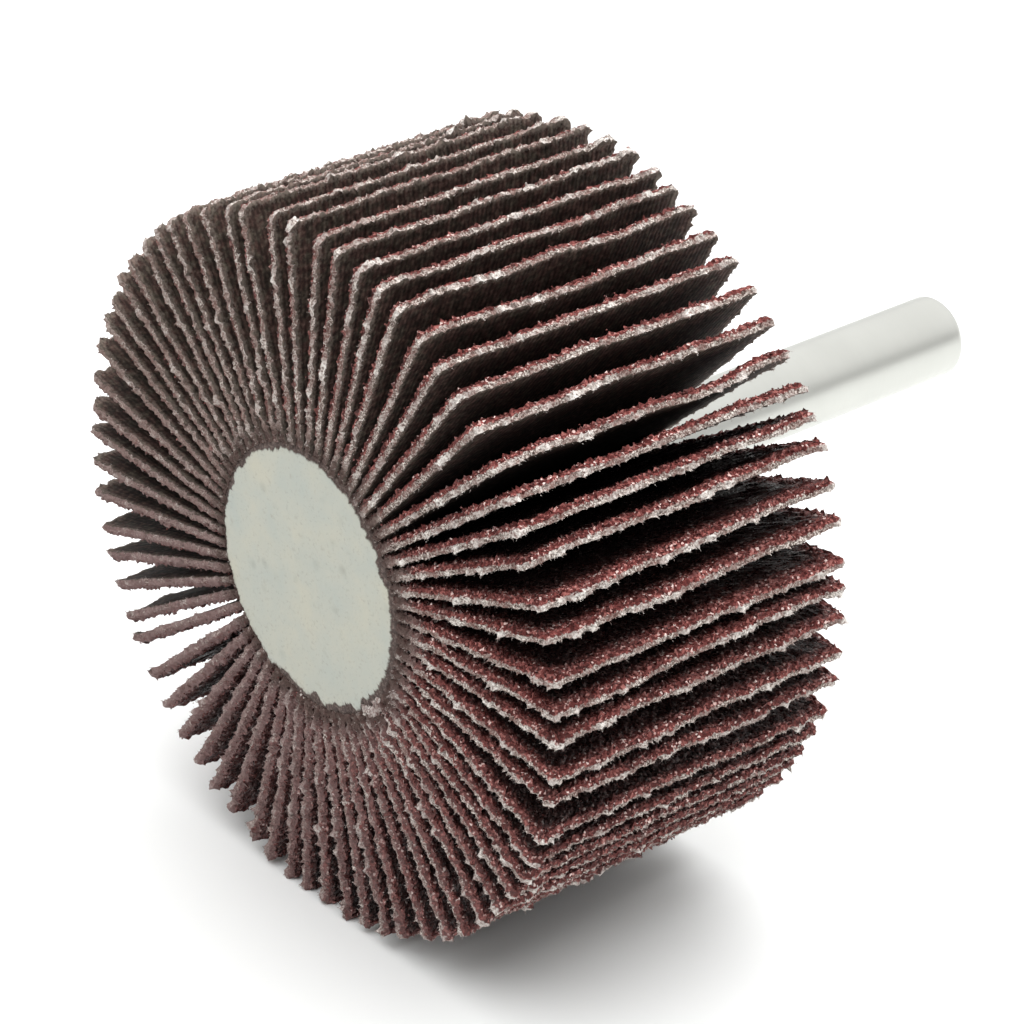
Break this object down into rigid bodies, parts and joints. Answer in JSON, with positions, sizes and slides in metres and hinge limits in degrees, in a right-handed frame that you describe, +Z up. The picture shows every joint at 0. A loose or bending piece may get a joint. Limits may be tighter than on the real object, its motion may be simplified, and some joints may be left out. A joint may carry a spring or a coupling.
{
  "type": "flap wheel",
  "caption": "Mounted abrasive flap wheel: leaves of abrasive cloth stand on edge round a pale resin core, which is cast about a plain steel shank.",
  "frame": {"origin": "on the wheel's axis at its rear face, where the shank leaves the core", "axes": "+Y along the axis towards the free end of the shank, +Z up; the wheel rests on its rim at -Z, and its front face looks to -Y"},
  "size_m": [0.05, 0.0575, 0.05],
  "materials": {
    "shank_steel": "ground and polished",
    "core_resin": "cast, matte",
    "abrasive_cloth": "grit on woven cloth"
  },
  "bodies": {
    "root": {"shank": "shank_steel", "resin_core": "core_resin", "flap_pair_01": "abrasive_cloth", "flap_pair_02": "abrasive_cloth", "flap_pair_03": "abrasive_cloth", "flap_pair_04": "abrasive_cloth", "flap_pair_05": "abrasive_cloth", "flap_pair_06": "abrasive_cloth", "flap_pair_07": "abrasive_cloth", "flap_pair_08": "abrasive_cloth", "flap_pair_09": "abrasive_cloth", "flap_pair_10": "abrasive_cloth", "flap_pair_11": "abrasive_cloth", "flap_pair_12": "abrasive_cloth", "flap_pair_13": "abrasive_cloth", "flap_pair_14": "abrasive_cloth", "flap_pair_15": "abrasive_cloth", "flap_pair_16": "abrasive_cloth", "flap_pair_17": "abrasive_cloth", "flap_pair_18": "abrasive_cloth", "flap_pair_19": "abrasive_cloth", "flap_pair_20": "abrasive_cloth", "flap_pair_21": "abrasive_cloth", "flap_pair_22": "abrasive_cloth", "flap_pair_23": "abrasive_cloth", "flap_pair_24": "abrasive_cloth", "flap_pair_25": "abrasive_cloth", "flap_pair_26": "abrasive_cloth", "flap_pair_27": "abrasive_cloth", "flap_pair_28": "abrasive_cloth", "flap_pair_29": "abrasive_cloth", "flap_pair_30": "abrasive_cloth", "flap_pair_31": "abrasive_cloth", "flap_pair_32": "abrasive_cloth", "flap_pair_33": "abrasive_cloth", "flap_pair_34": "abrasive_cloth"}
  },
  "joints": []
}
